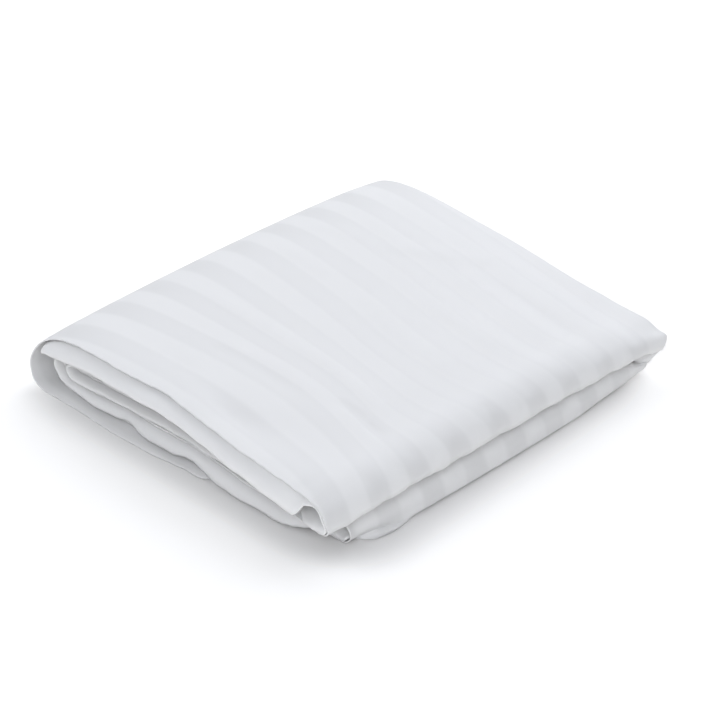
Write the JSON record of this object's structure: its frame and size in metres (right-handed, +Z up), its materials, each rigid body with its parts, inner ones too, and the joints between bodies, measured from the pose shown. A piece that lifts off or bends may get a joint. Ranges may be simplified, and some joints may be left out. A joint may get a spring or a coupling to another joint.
{
  "type": "folded duvet cover",
  "caption": "White satin-stripe duvet cover, folded into a flat soft packet with one rounded fold at the back and two rolled folds at the front.",
  "frame": {"origin": "middle of the packet's footprint on the surface it lies on", "axes": "+Z up, +X along the single big fold, across the stripes, +Y from the rolled front folds towards the big fold"},
  "size_m": [0.36, 0.3242, 0.0572],
  "materials": {
    "striped_cotton": "white cotton with soft matt and satin stripes"
  },
  "bodies": {
    "root": {"folded_cover": "striped_cotton"}
  },
  "joints": []
}
